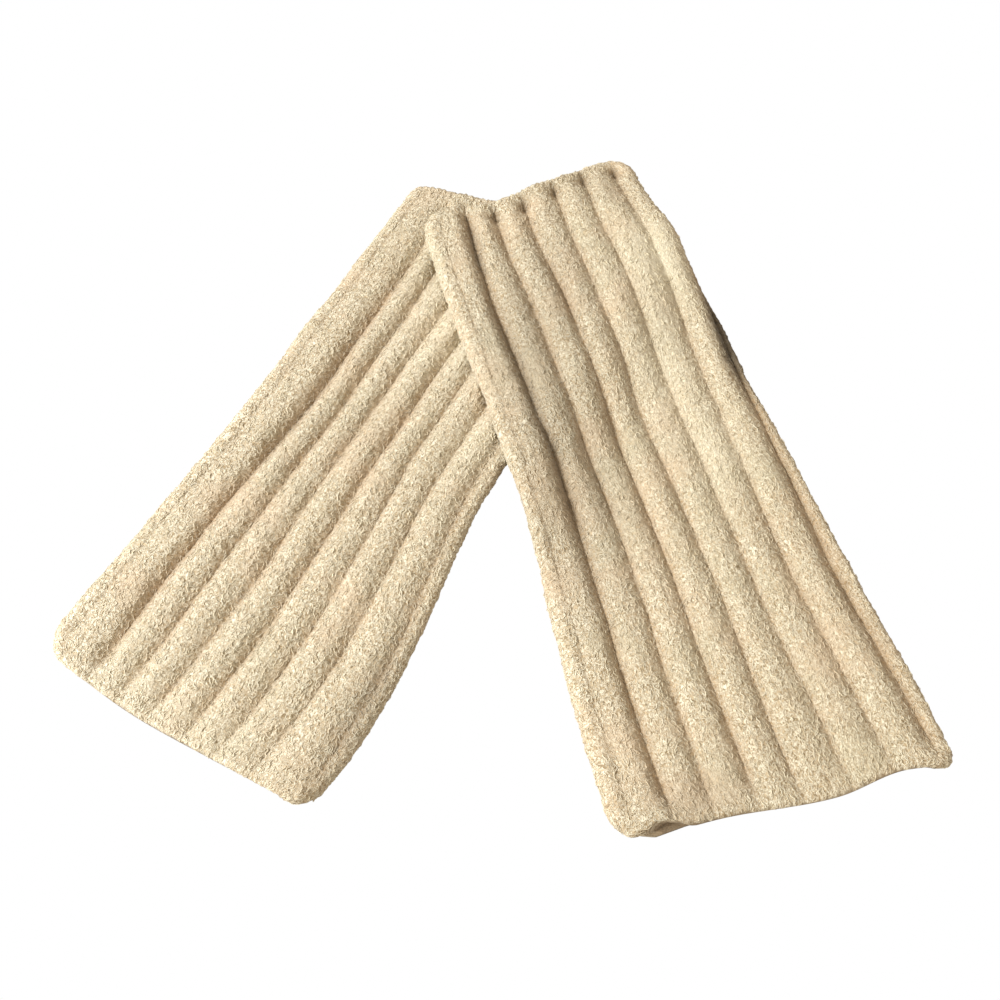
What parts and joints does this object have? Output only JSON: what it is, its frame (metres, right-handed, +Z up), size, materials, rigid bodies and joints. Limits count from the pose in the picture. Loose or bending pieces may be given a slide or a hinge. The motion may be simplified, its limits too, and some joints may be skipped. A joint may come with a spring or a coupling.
{
  "type": "pair of fingerless arm warmers",
  "caption": "Pair of wide-ribbed knitted arm warmers, open tubes lying flat on a table with one crossed over the other at the top.",
  "frame": {"origin": "on the table, under the middle of the pair's box", "axes": "+Z up from the table; +Y away from the hems, towards the crossed tops; +X to the right as seen from the hems"},
  "size_m": [0.3546, 0.3298, 0.0182],
  "materials": {
    "cream_wool": "soft fuzzy rib knit, matte"
  },
  "bodies": {
    "root": {"warmer_left": "cream_wool", "warmer_right": "cream_wool"}
  },
  "joints": []
}
